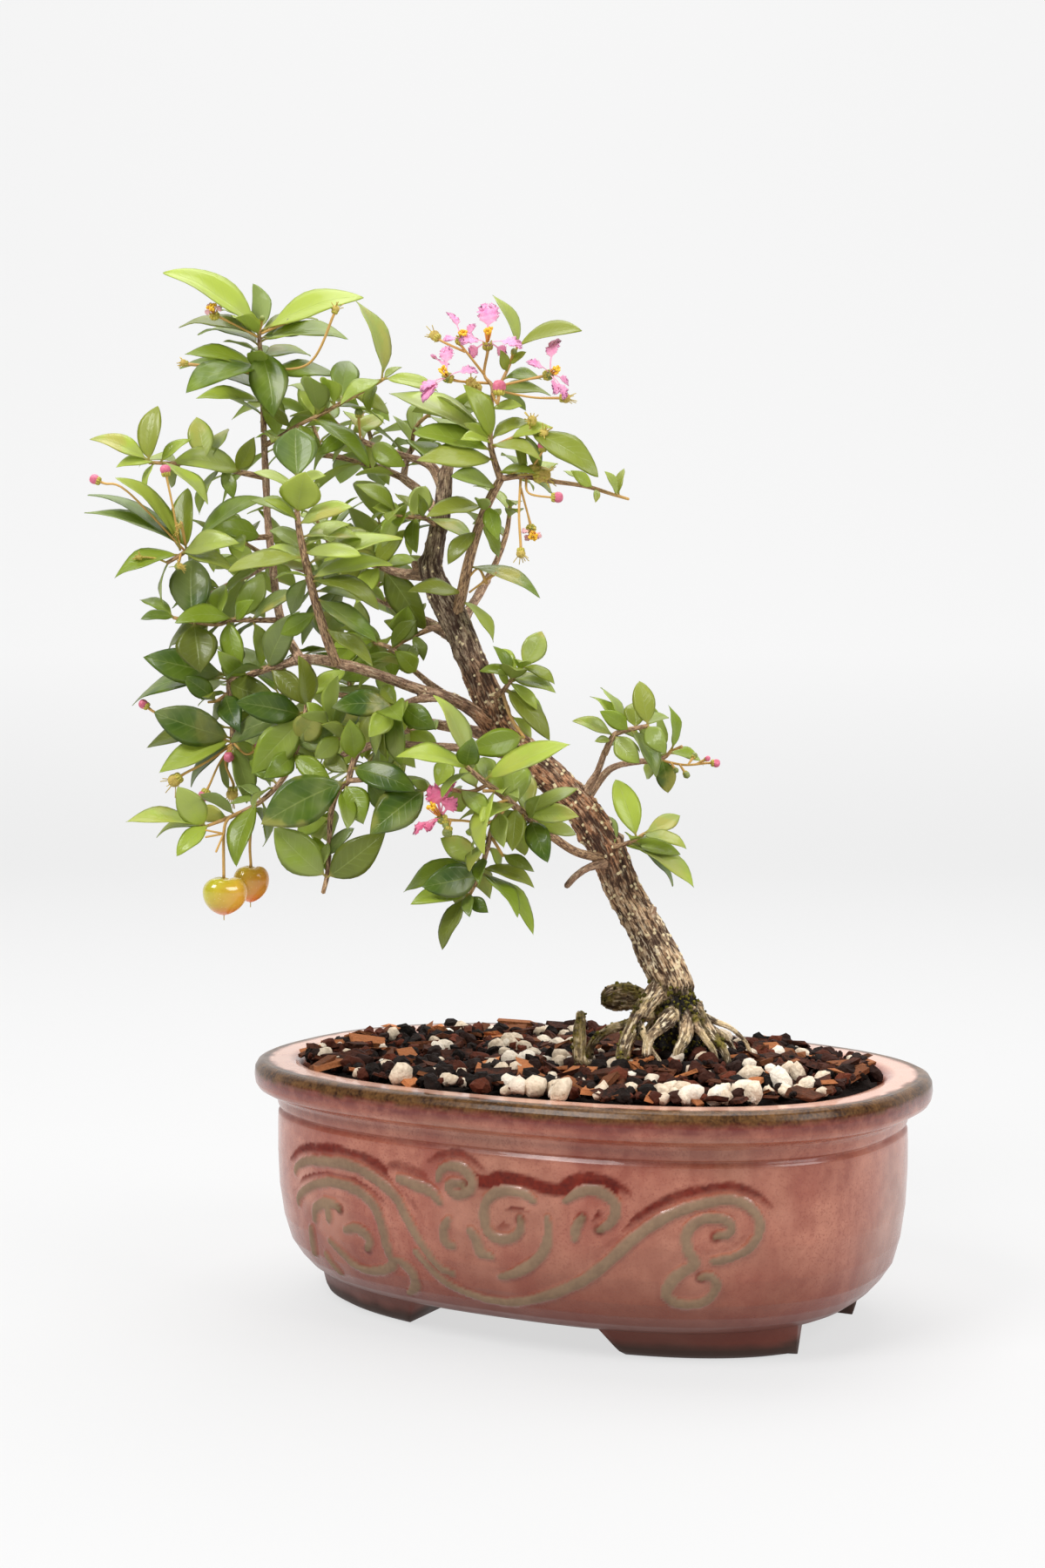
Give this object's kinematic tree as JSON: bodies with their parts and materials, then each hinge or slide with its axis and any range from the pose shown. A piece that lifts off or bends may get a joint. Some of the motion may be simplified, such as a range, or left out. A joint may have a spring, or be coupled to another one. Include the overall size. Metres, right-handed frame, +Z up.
{
  "type": "barbados cherry bonsai",
  "caption": "Small leaning barbados cherry bonsai with bare roots, leafy shoots, pink blooms and cherries, in a footed oval pot with scroll ornament, filled with coarse soil",
  "frame": {"origin": "middle of the whole part's bounding box in plan, on the plane the pot's feet stand on", "axes": "+X along the pot's long side, +Y from the ornamented front of the pot to its back, +Z up"},
  "size_m": [0.2288, 0.1708, 0.3032],
  "materials": {
    "pot_glaze": "gloss rose-brown glaze with olive relief",
    "soil": "coarse bark, pumice and lava grains",
    "bark": "rough fissured bark with moss",
    "leaf_green": "half-gloss leaf",
    "petal_pink": "thin soft petal",
    "petal_pale": "thin soft petal",
    "stamen_yellow": "matt pollen",
    "fruit_skin": "glossy fruit skin"
  },
  "bodies": {
    "root": {"pot": "pot_glaze", "soil": "soil", "trunk": "bark", "apex_shoot": "leaf_green", "apex_right_twig": "leaf_green", "crown_left_shoot": "leaf_green", "right_branch_shoot": "leaf_green", "right_long_twig": "leaf_green", "blossom_spray": "leaf_green", "left_high_shoot": "leaf_green", "left_mid_shoot": "leaf_green", "front_shoot": "leaf_green", "crown_inner_shoot": "leaf_green", "left_limb_shoot": "leaf_green", "inner_shoot_high": "leaf_green", "inner_shoot_low": "leaf_green", "left_twig_shoot": "leaf_green", "left_low_shoot": "leaf_green", "fruit_shoot": "leaf_green", "lower_limb_shoot": "leaf_green", "inner_fork_shoot": "leaf_green", "lower_back_shoot": "leaf_green", "front_low_shoot": "leaf_green", "low_sprig": "leaf_green", "trunk_right_twig": "leaf_green", "prong_upper_shoot": "leaf_green", "prong_lower_shoot": "leaf_green", "trunk_low_right_shoot": "leaf_green", "back_high_shoot": "leaf_green", "back_upper_shoot": "leaf_green", "back_middle_shoot": "leaf_green", "back_left_shoot": "leaf_green", "back_low_shoot": "leaf_green", "back_right_shoot": "leaf_green", "bloom_top_petals": "petal_pink", "bloom_top_stamens": "stamen_yellow", "bloom_top_left_petals": "petal_pink", "bloom_top_left_stamens": "stamen_yellow", "bloom_left_petals": "petal_pink", "bloom_left_stamens": "stamen_yellow", "bloom_right_petals": "petal_pink", "bloom_right_stamens": "stamen_yellow", "bloom_low_petals": "petal_pink", "bloom_low_stamens": "stamen_yellow", "bloom_opening_petals": "petal_pale", "bloom_pale_petals": "petal_pale", "fruit_front": "fruit_skin", "fruit_rear": "fruit_skin"}
  },
  "joints": []
}
